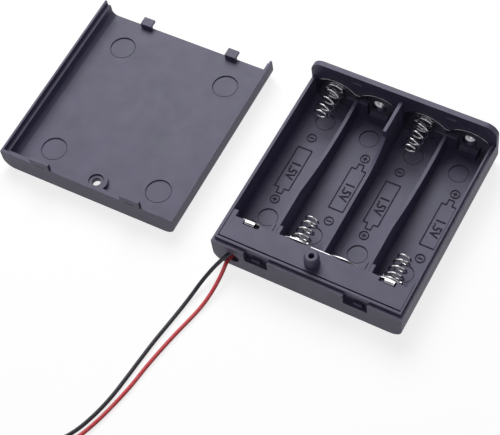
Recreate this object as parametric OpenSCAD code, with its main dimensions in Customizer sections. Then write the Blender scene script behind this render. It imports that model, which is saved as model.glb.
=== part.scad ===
// Enclosed holder for four cylindrical cells side by side, wired in series.
// A moulded tray carries nickel-plated contacts and conical springs, a plate covers the
// wiring compartment at the front, and the screw-down cover lies beside it, inside up.
// Millimetres. +X runs across the bays, +Y towards the back wall, +Z up.
// The origin is the middle of the tray's underside.

/* [Cells] */
// Largest diameter of a cell
cell_d = 14.5; // [14:0.1:15]
// Play across each bay
cell_play = 0.2; // [0.1:0.1:0.6]
// Length of a bay, from the back wall to the bulkhead
bay_len = 57.6; // [56.5:0.1:59]

/* [Tray] */
// Overall height of the closed case
case_h = 19; // [18.5:0.1:21]
// Height of the seam between tray and cover
seam_z = 10.8; // [10.4:0.1:11.4]
// Thickness of the floor
floor_t = 1.6; // [1.4:0.1:2]
// Thickness of the side walls
side_wall = 1.45; // [1.3:0.05:1.8]
// Thickness of the back wall
back_wall = 1.8; // [1.5:0.1:2.4]
// Thickness of the front wall
front_wall = 2.5; // [2.3:0.1:3]
// Thickness of the dividers between bays
divider_t = 1.1; // [0.9:0.1:1.4]
// Thickness of the bulkhead in front of the bays
bulkhead_t = 0.95; // [0.8:0.05:1]
// Length of the wiring compartment, bulkhead included
compartment_len = 8.1; // [8:0.1:9]
// Radius of the long outer edges
corner_r = 4.2; // [3.4:0.1:5]
// Height of the lip above the seam
lip_h = 1.2; // [0.8:0.1:1.4]
// Diameter of the hole that the leads leave by
lead_hole_d = 4.4; // [4:0.1:5]

/* [Cover] */
// Thickness of the cover's walls
cover_wall = 1.9; // [1.8:0.1:2.2]
// Thickness of the cover's top
cover_t = 1.6; // [1.4:0.1:2]
// Width of each tongue at the front
tongue_w = 7.3; // [6.5:0.1:8.5]
// Width of each hook at the back
hook_w = 4.1; // [3.5:0.1:5]
// Clear hole for the cover's screw
screw_hole_d = 2.9; // [2.6:0.1:3.1]
// Diameter of the recess for the screw's head
screw_head_d = 5; // [4.6:0.1:5.6]
// Depth of the recess for the screw's head
screw_head_l = 0.5; // [0.3:0.1:1]
// Gap between the case and the cover lying beside it
cover_gap = 15.6; // [10:0.1:30]

/* [Contacts] */
// Thickness of the contact plates
contact_t = 0.4; // [0.3:0.05:0.5]
// Diameter of the spring wire
spring_wire = 0.65; // [0.5:0.05:0.8]
// Mean radius of a spring at its base
spring_base_r = 3; // [2.8:0.1:3.3]
// Mean radius of a spring at its tip
spring_tip_r = 2.1; // [1.8:0.1:2.4]
// Free length of the two springs at the back
rear_spring_len = 11; // [9:0.5:12]
// Free length of the two springs at the bulkhead
front_spring_len = 9.8; // [8:0.1:11]
// Height of the pressed buttons
button_h = 1.5; // [1:0.1:2]

/* [Screw post] */
// Outer diameter of the post that takes the cover's screw
post_d = 4.9; // [4.5:0.1:5.5]
// Pilot bore in the post
pilot_d = 1.8; // [1.5:0.1:2.1]
// Depth of the pilot bore
pilot_l = 10; // [6:0.5:12]

/* [Switch] */
// Length of the slide switch
switch_l = 8.6; // [8.2:0.1:9.2]
// Width of the slide switch
switch_w = 4.4; // [4:0.1:4.8]
// Travel of the slider
switch_travel = 2; // [1.6:0.1:2.2]

/* [Leads] */
// Outer diameter of a lead
lead_d = 1.3; // [1:0.1:1.4]
// Diameter of the tinned core
core_d = 0.8; // [0.6:0.1:0.9]
// Length of the tinned end
tinned_len = 5; // [3:0.5:8]

/* [Hidden] */
$fn = 64;
past = 1;                 // how far a cutter runs past a face
overlap = 0.2;            // how far a rib sinks into its wall
seat = 0.05;              // clearance between pieces that seat on each other
slide_gap = 0.1;          // running clearance

// Case, across
bay_w = cell_d + cell_play;
bay_pitch = bay_w + divider_t;
inner_w = 4 * bay_w + 3 * divider_t;
case_w = inner_w + 2 * side_wall;
bay_x = [for (i = [-1.5, -0.5, 0.5, 1.5]) i * bay_pitch];
cell_z = floor_t + cell_d / 2;
inner_r = corner_r - side_wall;

// Case, along
case_l = back_wall + bay_len + compartment_len + front_wall;
back_y = case_l / 2;
front_y = -case_l / 2;
back_in_y = back_y - back_wall;
bulkhead_y = back_in_y - bay_len;
front_in_y = front_y + front_wall;

// Lip that locates the cover
lip_z = seam_z + lip_h;
side_lip_t = 0.6;
front_lip_t = 1.2;
side_ledge = side_wall - side_lip_t;
front_ledge = front_wall - front_lip_t;
lip_relief = 0.4;

// Tops of the dividers
outer_top_z = seam_z + 0.8;
outer_low_z = seam_z - 3;
outer_dish_r = 95;
outer_dish_in = 14.2;
outer_dish_y = back_in_y - outer_dish_in;
middle_top_z = case_h - 2.7;
middle_step_z = seam_z + 2.35;
middle_low_z = seam_z - 2;
middle_tall_l = 12.8;
middle_dish_l = 14.4;
middle_step_y = back_in_y - middle_tall_l;
middle_dish_y = middle_step_y - middle_dish_l;
middle_dish_r = ((middle_step_y - middle_dish_y) ^ 2 + (middle_step_z - middle_low_z) ^ 2)
    / (2 * (middle_step_z - middle_low_z));

// Places of the contacts
rear_plate_y = back_in_y - seat;
front_plate_y = bulkhead_y + seat;
lobe_half = bay_w / 2 - 0.25;
lobe_r = 9.2;
rear_top_z = cell_z + 4.75;
rear_neck_z = cell_z + 1.45;
front_top_z = cell_z + 3.45;
front_neck_z = cell_z + 2.15;
end_top_z = cell_z + 2.75;
end_half = 5;
link_half = 12.6;
rib_t = 0.8;
rib_half = 3.7;
rib_top_z = 8;
rib_front_y = rear_plate_y - contact_t - seat - rib_t;
shelf_half = 3.1;
shelf_h = 3.6;
shelf_deep = 2;
claw_w = 1.3;
claw_gap = 0.06;
spring_lift = 0.02;
button_r = 2.6;
button_dome_r = (button_r ^ 2 + button_h ^ 2) / (2 * button_h);
spring_turns = 5;
spring_flat_end = 0.5;
spring_steps = 14;
spring_sides = 6;

// Straps that carry the end contacts over the bulkhead
strap_w = 3.3;
strap_top_z = seam_z + 1.45;
strap_low_z = 7.6;
strap_front_y = bulkhead_y - bulkhead_t - 0.15 - contact_t;
strap_r = 0.7;
strap_x = bay_x[3] + 0.2;

// Compartment plate
plate_top_z = seam_z + 1;
plate_t = 1.5;
plate_low_z = plate_top_z - plate_t;
plate_back_y = bulkhead_y - seat;
finger_l = 2.9;
finger_w = 1.2;
side_finger_l = 2.2;
side_finger_w = 1.7;
strap_slot_w = 5.4;
strap_slot_x = bay_x[3] - 0.4;
plate_rest_w = 1.5;
plate_rest_l = 1.4;
post_y = front_y + 5.7;
stem_d = 4;
post_rim = 0.55;
post_rim_h = 1;

// Catches and hooks
catch_x = 17;
catch_clear = 0.4;
catch_low_z = seam_z - 4.3;
catch_skin = 0.6;
catch_roof = 0.6;
rest_w = 3;
rest_under = 0.4;
rest_x = catch_x + 0.4;
tongue_drop = 2.75;
tongue_t = front_ledge - slide_gap;
slot_w = 3.6;
slot_h = 1.75;
slot_down = 1.55;
hook_x = 16.5;
hook_t = 1;
hook_up = 2.7;
hook_base_l = 1.2;
hook_out = back_wall + 0.2;
hook_window_clear = 0.1;

// Cover
cover_h = case_h - seam_z;
cover_l = case_l - back_wall - seat;
rabbet_h = lip_h + 0.7;
cover_lip = side_ledge - slide_gap;
cover_front_wall = cover_wall + 0.6;
boss_d = 7.8;
boss_h = 3.1;
boss_floor = 2.5;
boss_bore_d = post_d + 3 * slide_gap;
boss_y = post_y - (front_y + cover_l / 2);
post_top_z = case_h - boss_floor - slide_gap;
cover_at = [-(case_w + cover_gap), 0.4];
cover_turn = 0.6;
ejector_deep = 0.3;
cover_ejector_d = 8.5;
cover_ejector_x = case_w / 2 - 12.5;
cover_ejector_in = 11.4;
tray_ejector_d = 6.3;
tray_ejector_in = 8.8;

// Switch, hung through the floor
switch_x = bay_x[0] + 12.7;
switch_y = (bulkhead_y - bulkhead_t + front_in_y) / 2;
switch_z = floor_t + seat;
switch_h = 3.3;
switch_skin = 0.3;
switch_base_t = 0.9;
knob_l = 2.8;
knob_w = 2.2;
knob_tip_z = 0.4;
groove_pitch = 0.8;
groove_w = 0.4;
groove_deep = 0.25;
slider_l = switch_l - 2 * switch_skin - switch_travel - 2 * slide_gap;
slider_w = switch_w - 2 * switch_skin - 2 * slide_gap;
slider_h = 1;
slider_z = switch_z + switch_skin + slide_gap;
terminal_pitch = 2.5;
terminal_w = 0.8;
terminal_t = 0.4;
terminal_top_z = switch_z + switch_h + 2;
terminal_low_z = switch_z + switch_h - switch_base_t - 0.3;
terminal_eye_d = 0.4;
terminal_eye_in = 0.5;
terminal_fit = 0.01;
base_fit = 0.02;
shoe_t = 0.15;
shoe_w = 1.2;
nest_t = 0.8;
nest_h = 1.6;
nest_corner = 2;

// Leads: chosen points, counted from the first bay's middle and the front face
lead_hole = [bay_x[0] - 1.7, front_y, 5.3];
lead_start = [bay_x[0], front_y, 0];
red_points = [[-0.3, 8.4, 8.2], [-0.4, 6.8, 7.5], [-0.7, 5.2, 6], [-1.1, 3.6, 4.9], [-1.7, 2, 4.6],
    [-2.5, 0.2, 4.85], [-2.75, -2.3, 4.6], [-2.6, -5.4, 3.7], [-2.7, -9.2, 2.5], [-3.1, -13.4, 1.4],
    [-3.8, -18, 0.8], [-4.9, -23, 0.65], [-6.3, -29, 0.65], [-7.6, -35.5, 0.65], [-8.8, -42.5, 0.65],
    [-9.8, -50, 0.65], [-11.3, -57.5, 0.65], [-13.1, -64.5, 0.65], [-15.5, -71, 0.65],
    [-19.1, -77, 0.65], [-24.3, -81.8, 0.65], [-31.3, -84.6, 0.65], [-39.3, -85.5, 0.65],
    [-49.3, -85.6, 0.65], [-60.3, -85.4, 0.65], [-76.3, -85, 0.65]];
black_points = [[10.2, 5, 6.1], [8.4, 5, 7], [5.9, 4.9, 7.1], [3.4, 4.5, 7], [1.2, 3.8, 6.7],
    [-0.7, 2.9, 6.4], [-2, 1.6, 6.4], [-2.9, 0, 6.3], [-3.7, -1.4, 6.1], [-4.7, -3.2, 5.2],
    [-6.1, -5.8, 3.6], [-7.4, -10.4, 2.3], [-8.3, -15.5, 1.2], [-9.1, -20.8, 0.7],
    [-9.9, -26.5, 0.65], [-10.9, -33.5, 0.65], [-11.7, -41, 0.65], [-12.4, -48.5, 0.65],
    [-13.3, -56, 0.65], [-14.9, -63.2, 0.65], [-17.3, -69.8, 0.65], [-21.1, -75.6, 0.65],
    [-26.7, -80, 0.65], [-33.8, -82.3, 0.65], [-41.8, -83, 0.65], [-54.3, -83.1, 0.65],
    [-71.3, -82.8, 0.65]];
red_route = [for (p = red_points) p + lead_start];
black_route = [for (p = black_points) p + lead_start];

// Wire from the last bay's strap, behind the post's stem, to the switch
jumper_z = floor_t + 0.9;
jumper_route = [[strap_x, front_y + 8.5, strap_low_z + 0.4],
    [strap_x - 1.6, front_y + 7.5, strap_low_z - 0.9],
    [strap_x - 4.6, front_y + 6.8, strap_low_z - 3], [strap_x - 9, front_y + 6.8, jumper_z + 0.9],
    [10, front_y + 7.4, jumper_z + 0.1], [5, front_y + 8.3, jumper_z], [0, front_y + 8.6, jumper_z + 0.2],
    [switch_x + 7.6, front_y + 8, jumper_z + 1.4], [switch_x + 5, front_y + 6.8, jumper_z + 3.2],
    [switch_x + 2.4, front_y + 6.8, terminal_top_z - 0.2], [switch_x, front_y + 6.9, terminal_top_z - 0.8]];
jumper_d = 1;
lead_sides = 8;
lead_rings = 40;
jumper_rings = 20;
solder_r = 0.8;
solder_in = 0.4;

abs_black = "#3b3a44";
nickel = "#c9c6bd";

function unit(v) = v / norm(v);

// Point at parameter u (0 to 1) on the smooth curve through the points p
function curve_at(p, u) =
    let (n = len(p) - 1,
         s = min(floor(u * n), n - 1),
         t = u * n - s,
         a = p[max(s - 1, 0)],
         b = p[s],
         c = p[s + 1],
         d = p[min(s + 2, n)])
    (2 * b + (c - a) * t + (2 * a - 5 * b + 4 * c - d) * t ^ 2
        + (3 * b - a - 3 * c + d) * t ^ 3) / 2;

function smooth(p, rings) = [for (i = [0 : rings]) curve_at(p, i / rings)];

// Profile in x and z, drawn out from y0 to y1
module along_y(y0, y1) {
    translate([0, y1, 0]) rotate([90, 0, 0]) linear_extrude(y1 - y0) children();
}

// Profile in y and z, drawn out from x0 to x1
module along_x(x0, x1) {
    translate([x0, 0, 0]) rotate([90, 0, 90]) linear_extrude(x1 - x0) children();
}

module block(low, high) {
    translate(low) cube(high - low);
}

// Open section standing on z = 0, with its two lower corners rounded
module trough(w, h, r) {
    translate([-w / 2, r]) square([w, h - r]);
    translate([r - w / 2, 0]) square([w - 2 * r, r + overlap]);
    for (side = [-1, 1])
        translate([side * (w / 2 - r), r]) circle(r);
}

// Round tube swept along a path
module tube(path, r, sides) {
    n = len(path);
    rings = [for (i = [0 : n - 1])
        let (t = unit(path[min(i + 1, n - 1)] - path[max(i - 1, 0)]),
             across = unit(cross(t, [0, 0, 1])),
             up = cross(across, t))
        for (k = [0 : sides - 1])
            path[i] + r * (cos(360 * (k + 0.5) / sides) * across
                + sin(360 * (k + 0.5) / sides) * up)];
    skin = [for (i = [0 : n - 2]) for (k = [0 : sides - 1])
        let (m = (k + 1) % sides)
        [i * sides + k, i * sides + m, (i + 1) * sides + m, (i + 1) * sides + k]];
    start_cap = [for (k = [sides - 1 : -1 : 0]) k];
    end_cap = [for (k = [0 : sides - 1]) (n - 1) * sides + k];
    polyhedron(rings, concat(skin, [start_cap, end_cap]));
}

// ---- Tray ----

// Outer form of the tray, with the tall back wall and the locating lip
module tray_outside() {
    along_y(front_y, back_y) trough(case_w, seam_z, corner_r);
    along_y(front_y + front_ledge, back_in_y + overlap)
        trough(case_w - 2 * side_ledge, lip_z, corner_r);
    along_y(back_in_y, back_y) {
        trough(case_w, case_h / 2, corner_r);
        translate([0, case_h]) mirror([0, 1]) trough(case_w, case_h / 2 + overlap, corner_r);
    }
}

// Outer divider, dished so that a fingertip reaches the cells
module outer_divider(x) {
    along_x(x - divider_t / 2, x + divider_t / 2)
        difference() {
            translate([bulkhead_y - overlap, floor_t - overlap])
                square([rib_front_y - bulkhead_y + 2 * overlap, outer_top_z - floor_t + overlap]);
            translate([outer_dish_y, outer_low_z + outer_dish_r]) circle(outer_dish_r, $fn = 240);
            translate([bulkhead_y - past, plate_low_z - seat]) square([past - seat, past * 4]);
        }
}

// Rib across the back end of an outer divider, which holds the link plate to the wall
module end_rib(x) {
    block([x - rib_half, rib_front_y, floor_t - overlap],
        [x + rib_half, rib_front_y + rib_t, rib_top_z]);
}

// Middle divider: tall at the back, stepped and hollowed down to a low rail
module middle_divider() {
    rail_y = bulkhead_y + seat + contact_t + seat;
    along_x(-divider_t / 2, divider_t / 2) {
        translate([rail_y, floor_t - overlap])
            square([middle_dish_y - rail_y + overlap, middle_low_z - floor_t + overlap]);
        difference() {
            translate([middle_dish_y, floor_t - overlap])
                square([middle_step_y - middle_dish_y, middle_step_z - floor_t + overlap]);
            translate([middle_dish_y, middle_low_z + middle_dish_r]) circle(middle_dish_r, $fn = 120);
        }
        translate([middle_step_y, floor_t - overlap])
            square([back_in_y - middle_step_y + overlap, middle_top_z - floor_t + overlap]);
    }
}

module bulkhead() {
    block([-inner_w / 2 - overlap, bulkhead_y - bulkhead_t, floor_t - overlap],
        [inner_w / 2 + overlap, bulkhead_y, plate_low_z - seat]);
}

// Shelf in front of a rear button, which keeps a cell put in the wrong way round off the contact
module button_shelf(x) {
    y1 = rear_plate_y - contact_t - seat;
    block([x - shelf_half, y1 - shelf_deep, floor_t - overlap],
        [x + shelf_half, y1, floor_t + shelf_h]);
}

// Corner blocks that the compartment plate rests on
module plate_rests() {
    half = (plate_rest_w + overlap) / 2;
    for (side = [-1, 1]) {
        x = side * (inner_w / 2 + overlap - half);
        block([x - half, front_in_y - overlap, floor_t - overlap],
            [x + half, front_in_y + plate_rest_l, plate_low_z - seat]);
    }
}

// Low walls that locate the switch on the floor
module switch_nest() {
    half_l = switch_l / 2 + slide_gap;
    half_w = switch_w / 2 + slide_gap;
    translate([switch_x, switch_y, floor_t - overlap])
        difference() {
            block([-half_l - nest_t, -half_w - nest_t, 0],
                [half_l + nest_t, half_w + nest_t, nest_h + overlap]);
            block([-half_l, -half_w, -past], [half_l, half_w, nest_h + past]);
            block([nest_corner - half_l, -half_w - past, overlap],
                [half_l - nest_corner, half_w + past, nest_h + past]);
        }
}

module knob_slot() {
    slot_l = knob_l + switch_travel + 2 * slide_gap;
    slot_w = knob_w + 2 * slide_gap;
    block([switch_x - slot_l / 2, switch_y - slot_w / 2, -past],
        [switch_x + slot_l / 2, switch_y + slot_w / 2, floor_t + past]);
}

// Pocket in the front wall that a tongue of the cover drops into
module catch_notch(x) {
    half = tongue_w / 2 + catch_clear;
    block([x - half, front_y - past, catch_low_z], [x + half, front_y + front_ledge, seam_z + past]);
    block([x - half, front_y, catch_low_z],
        [x + half, front_in_y - catch_skin, seam_z - catch_roof]);
}

// Block in the pocket that the tongue's end comes down on
module catch_rest(x) {
    block([x - rest_w / 2, front_y + tongue_t - rest_under, catch_low_z - overlap],
        [x + rest_w / 2, front_in_y - catch_skin + overlap, seam_z - tongue_drop - slide_gap]);
}

// Step behind the front lip, which leaves a finger-nail gap along the compartment plate
module lip_step() {
    block([-inner_w / 2, front_in_y - lip_relief, seam_z],
        [inner_w / 2, front_in_y + past, lip_z + past]);
}

module hook_window(x) {
    half = hook_w / 2 + hook_window_clear;
    top = case_h - hook_up + hook_window_clear;
    block([x - half, back_in_y - past, top - hook_t - 2 * hook_window_clear],
        [x + half, back_y + past, top]);
}

module ejector_marks() {
    for (x = bay_x)
        for (y = [back_in_y - tray_ejector_in, bulkhead_y + tray_ejector_in])
            translate([x, y, floor_t - ejector_deep]) cylinder(d = tray_ejector_d, h = past);
}

module case_tray() {
    color(abs_black) {
        difference() {
            tray_outside();
            along_y(front_in_y, back_in_y)
                translate([0, floor_t]) trough(inner_w, case_h, inner_r);
            for (side = [-1, 1]) {
                catch_notch(side * catch_x);
                hook_window(side * hook_x);
            }
            translate(lead_hole - [0, past, 0])
                rotate([-90, 0, 0]) cylinder(d = lead_hole_d, h = front_wall + 2 * past);
            knob_slot();
            lip_step();
            ejector_marks();
        }
        for (side = [-1, 1]) {
            outer_divider(side * bay_pitch);
            end_rib(side * bay_pitch);
            catch_rest(side * rest_x);
        }
        middle_divider();
        bulkhead();
        button_shelf(bay_x[1]);
        button_shelf(bay_x[3]);
        plate_rests();
        switch_nest();
    }
}

// ---- Cover, modelled inside up about its own middle ----

module cover_shell() {
    half_l = cover_l / 2;
    difference() {
        along_y(-half_l, half_l) trough(case_w, cover_h, corner_r);
        along_y(cover_front_wall - half_l, half_l + past)
            translate([0, cover_t]) trough(case_w - 2 * cover_wall, cover_h, corner_r - cover_wall);
        block([cover_lip - case_w / 2, tongue_t - half_l, cover_h - rabbet_h],
            [case_w / 2 - cover_lip, half_l + past, cover_h + past]);
    }
}

// Tongue with the slot at its root that lets it give
module cover_tongue(x) {
    low = cover_h - rabbet_h - overlap;
    top = cover_h + tongue_drop;
    y0 = -cover_l / 2;
    difference() {
        block([x - tongue_w / 2, y0, low], [x + tongue_w / 2, y0 + tongue_t, top]);
        block([x - slot_w / 2, y0 - past, cover_h - slot_down],
            [x + slot_w / 2, y0 + tongue_t + past, cover_h - slot_down + slot_h]);
    }
}

module cover_hook(x) {
    y1 = cover_l / 2;
    block([x - hook_w / 2, y1 - hook_base_l, cover_t - overlap], [x + hook_w / 2, y1, hook_up + hook_t]);
    block([x - hook_w / 2, y1 - overlap, hook_up], [x + hook_w / 2, y1 + hook_out, hook_up + hook_t]);
}

module cover() {
    color(abs_black)
        translate([cover_at[0], cover_at[1], 0]) rotate([0, 0, cover_turn])
            difference() {
                union() {
                    cover_shell();
                    for (side = [-1, 1]) {
                        cover_tongue(side * catch_x);
                        cover_hook(side * hook_x);
                    }
                    translate([0, boss_y, cover_t - overlap])
                        cylinder(d = boss_d, h = boss_h - cover_t + overlap);
                }
                translate([0, boss_y, -past]) cylinder(d = screw_hole_d, h = boss_h + 2 * past);
                translate([0, boss_y, -past]) cylinder(d = screw_head_d, h = screw_head_l + past);
                translate([0, boss_y, boss_floor]) cylinder(d = boss_bore_d, h = boss_h);
                for (side = [-1, 1])
                    for (y = [cover_l / 2 - cover_ejector_in, cover_ejector_in - cover_l / 2])
                        translate([side * cover_ejector_x, y, cover_t - ejector_deep])
                            cylinder(d = cover_ejector_d, h = past);
            }
}

// ---- Plate over the wiring compartment, with the screw post ----

module plate_sheet() {
    half = inner_w / 2 - slide_gap;
    difference() {
        block([-half, front_in_y + slide_gap, plate_low_z], [half, plate_back_y, plate_top_z]);
        for (side = [-1, 1])
            block([side * strap_slot_x - strap_slot_w / 2, strap_front_y - slide_gap, plate_low_z - past],
                [side * strap_slot_x + strap_slot_w / 2, plate_back_y + past, plate_top_z + past]);
    }
}

module plate_finger(x, w, l) {
    block([x - w / 2, plate_back_y - overlap, plate_low_z], [x + w / 2, plate_back_y + l, plate_top_z]);
}

module compartment_plate() {
    beside_divider = divider_t / 2 + slide_gap + finger_w / 2;
    at_wall = inner_w / 2 - slide_gap - side_finger_w / 2;
    color(abs_black)
        difference() {
            union() {
                plate_sheet();
                for (side = [-1, 1]) {
                    plate_finger(side * (bay_pitch - beside_divider), finger_w, finger_l);
                    plate_finger(side * (bay_pitch + beside_divider), finger_w, finger_l);
                    plate_finger(side * at_wall, side_finger_w, side_finger_l);
                }
                translate([0, post_y, plate_top_z - overlap])
                    cylinder(d = post_d, h = post_top_z - post_rim_h - plate_top_z + overlap);
                translate([0, post_y, post_top_z - post_rim_h])
                    cylinder(d1 = post_d, d2 = post_d - 2 * post_rim, h = post_rim_h);
                translate([0, post_y, floor_t + seat])
                    cylinder(d = stem_d, h = plate_low_z - floor_t - seat + overlap);
            }
            translate([0, post_y, post_top_z - pilot_l])
                cylinder(d = pilot_d, h = pilot_l + past);
        }
}

// ---- Contacts ----

// Thin sheet standing in the x-z plane, its face towards the cell at y = 0
module sheet() {
    along_y(-contact_t, 0) children();
}

// Arched lobe behind one cell
module lobe(x, half, top) {
    translate([x, 0])
        intersection() {
            translate([0, top - lobe_r]) circle(lobe_r);
            translate([-half, top - lobe_r]) square([2 * half, lobe_r]);
        }
    translate([x - half, floor_t + 2 * seat]) square([2 * half, top - lobe_r - floor_t]);
}

// Room that the rounded tray leaves for a contact
module tray_section() {
    translate([0, floor_t + seat]) trough(inner_w - 4 * seat, case_h, inner_r);
}

// Hollow dome pressed out of a sheet, with its axis along y
module button(x) {
    translate([x, 0, cell_z]) rotate([-90, 0, 0])
        rotate_extrude()
            difference() {
                intersection() {
                    translate([0, button_h - button_dome_r]) circle(button_dome_r);
                    translate([0, -contact_t]) square([button_r, button_h + contact_t]);
                }
                translate([0, button_h - button_dome_r]) circle(button_dome_r - contact_t);
            }
}

module button_hole(x) {
    translate([x, cell_z]) circle(button_r - contact_t);
}

// Two claws bent over the base turn of a spring
module spring_claws(x) {
    inner = spring_base_r - spring_wire / 2 - claw_gap;
    outer = spring_base_r + spring_wire / 2;
    under = spring_lift + spring_wire + claw_gap;
    top = under + contact_t;
    translate([x, 0, cell_z]) rotate([-90, 0, 0])
        for (turn = [195, 345])
            rotate([0, 0, turn]) {
                block([inner - contact_t, -claw_w / 2, -overlap], [inner, claw_w / 2, top]);
                block([inner - contact_t, -claw_w / 2, under], [outer, claw_w / 2, top]);
            }
}

// Sheet behind two bays, seen from the cells: its spring is on the left of the two
module rear_link_plate(left) {
    spring_x = bay_x[left];
    button_x = bay_x[left + 1];
    color(nickel)
        translate([0, rear_plate_y - contact_t, 0]) mirror([0, 1, 0]) {
            sheet()
                difference() {
                    intersection() {
                        union() {
                            lobe(spring_x, lobe_half, rear_top_z);
                            lobe(button_x, lobe_half, rear_top_z);
                            translate([spring_x, floor_t + 2 * seat])
                                square([bay_pitch, rear_neck_z - floor_t - 2 * seat]);
                        }
                        tray_section();
                    }
                    button_hole(button_x);
                }
            button(button_x);
            spring_claws(spring_x);
        }
}

module front_link_plate() {
    spring_x = bay_x[1];
    button_x = bay_x[2];
    outer_half = link_half - button_x;
    color(nickel)
        translate([0, front_plate_y + contact_t, 0]) {
            sheet()
                difference() {
                    union() {
                        for (x = [spring_x, button_x])
                            lobe(x, outer_half, front_top_z);
                        translate([spring_x, floor_t + 2 * seat])
                            square([bay_pitch, front_neck_z - floor_t - 2 * seat]);
                    }
                    button_hole(button_x);
                }
            button(button_x);
            spring_claws(spring_x);
        }
}

// Strap that runs up from an end plate, over the bulkhead and down to the solder
module strap_section() {
    back = front_plate_y + contact_t;
    width = back - strap_front_y;
    difference() {
        translate([strap_front_y + width / 2, strap_top_z]) mirror([0, 1])
            trough(width, strap_top_z - strap_low_z, strap_r);
        translate([strap_front_y + width / 2, strap_top_z - contact_t]) mirror([0, 1])
            trough(width - 2 * contact_t, strap_top_z, strap_r - contact_t);
    }
}

module strap(x) {
    along_x(x - strap_w / 2, x + strap_w / 2) strap_section();
}

module end_outline(x) {
    intersection() {
        lobe(x, end_half, end_top_z);
        tray_section();
    }
}

module positive_end_plate() {
    color(nickel) {
        strap(-strap_x);
        translate([0, front_plate_y + contact_t, 0]) {
            sheet()
                difference() {
                    end_outline(bay_x[0]);
                    button_hole(bay_x[0]);
                }
            button(bay_x[0]);
        }
    }
}

module negative_end_plate() {
    color(nickel) {
        strap(strap_x);
        translate([0, front_plate_y + contact_t, 0]) {
            sheet() end_outline(bay_x[3]);
            spring_claws(bay_x[3]);
        }
    }
}

// Height of the wire's middle after a number of turns: a flat base turn, then an even rise
function spring_rise(turn, l) =
    let (low = spring_wire / 2 + spring_lift,
         high = l - spring_wire / 2,
         part = (turn - 1) / (spring_turns - 1 - spring_flat_end))
    low + (high - low) * max(0, min(1, part));

function spring_radius(turn) =
    spring_base_r + (spring_tip_r - spring_base_r) * max(0, turn - 1) / (spring_turns - 1);

module spring(l) {
    path = [for (i = [0 : spring_turns * spring_steps])
        let (turn = i / spring_steps)
        [spring_radius(turn) * cos(360 * turn), spring_radius(turn) * sin(360 * turn),
            spring_rise(turn, l)]];
    color(nickel) tube(path, spring_wire / 2, spring_sides);
}

module rear_spring(x) {
    translate([x, rear_plate_y - contact_t, cell_z]) mirror([0, 1, 0]) rotate([-90, 0, 0])
        spring(rear_spring_len);
}

module front_spring(x) {
    translate([x, front_plate_y + contact_t, cell_z]) rotate([-90, 0, 0]) spring(front_spring_len);
}

// ---- Switch: an open steel frame, knob down through the floor, terminals up ----

module switch_frame() {
    window_l = knob_l + switch_travel + 2 * slide_gap;
    window_w = knob_w + 2 * slide_gap;
    color(nickel)
        translate([switch_x, switch_y, switch_z])
            difference() {
                block([-switch_l / 2, -switch_w / 2, 0], [switch_l / 2, switch_w / 2, switch_h]);
                block([switch_skin - switch_l / 2, switch_skin - switch_w / 2, switch_skin],
                    [switch_l / 2 - switch_skin, switch_w / 2 - switch_skin, switch_h + past]);
                block([-window_l / 2, -window_w / 2, -past], [window_l / 2, window_w / 2, past]);
            }
}

module terminal_blank(i, grow) {
    x = switch_x + i * terminal_pitch;
    block([x - terminal_w / 2 - grow, switch_y - terminal_t / 2 - grow, terminal_low_z],
        [x + terminal_w / 2 + grow, switch_y + terminal_t / 2 + grow, terminal_top_z]);
}

module switch_base() {
    fit = switch_skin + base_fit;
    color("#8a5a33")
        difference() {
            translate([switch_x, switch_y, switch_z])
                block([fit - switch_l / 2, fit - switch_w / 2, switch_h - switch_base_t],
                    [switch_l / 2 - fit, switch_w / 2 - fit, switch_h]);
            for (i = [-1, 0, 1])
                terminal_blank(i, terminal_fit);
        }
}

module switch_terminal(i) {
    x = switch_x + i * terminal_pitch;
    color(nickel)
        difference() {
            terminal_blank(i, 0);
            translate([x, switch_y - past, terminal_top_z - terminal_eye_in]) rotate([-90, 0, 0])
                cylinder(d = terminal_eye_d, h = 2 * past, $fn = 24);
        }
}

// Slider at the left end of its travel, with the knob that a fingernail moves
module switch_knob() {
    x = switch_x - switch_travel / 2;
    color("#202024")
        difference() {
            union() {
                block([x - slider_l / 2, switch_y - slider_w / 2, slider_z],
                    [x + slider_l / 2, switch_y + slider_w / 2, slider_z + slider_h]);
                block([x - knob_l / 2, switch_y - knob_w / 2, knob_tip_z],
                    [x + knob_l / 2, switch_y + knob_w / 2, slider_z + overlap]);
            }
            for (step = [-1, 0, 1])
                block([x + step * groove_pitch - groove_w / 2, switch_y - knob_w, knob_tip_z - past],
                    [x + step * groove_pitch + groove_w / 2, switch_y + knob_w, knob_tip_z + groove_deep]);
        }
}

// Bridge of spring bronze on the slider, which joins two neighbouring terminals
module switch_shoe() {
    x = switch_x - switch_travel / 2;
    low = slider_z + slider_h;
    hump_r = terminal_low_z - slide_gap / 2 - low;
    color("#c9a26a")
        translate([x, 0, low])
            along_y(switch_y - shoe_w / 2, switch_y + shoe_w / 2)
                difference() {
                    union() {
                        translate([-terminal_pitch, 0]) square([2 * terminal_pitch, shoe_t]);
                        for (side = [-1, 1])
                            translate([side * terminal_pitch / 2, 0]) circle(hump_r, $fn = 32);
                    }
                    for (side = [-1, 1])
                        translate([side * terminal_pitch / 2, 0]) circle(hump_r - shoe_t, $fn = 32);
                    translate([-2 * terminal_pitch, -past]) square([4 * terminal_pitch, past]);
                }
}

// ---- Wiring ----

module solder_joints() {
    color("#d4d6d8")
        for (p = [red_route[0] + [0, solder_in, 0], black_route[0] + [0, solder_in, 0],
                jumper_route[0] + [0, solder_in, 0],
                jumper_route[len(jumper_route) - 1] - [0, solder_in, 0]])
            translate(p) sphere(solder_r, $fn = 32);
}

module jumper_wire() {
    color("#2b2d2e") tube(smooth(jumper_route, jumper_rings), jumper_d / 2, lead_sides);
}

module lead(route) {
    tube(smooth(route, lead_rings), lead_d / 2, lead_sides);
}

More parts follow.
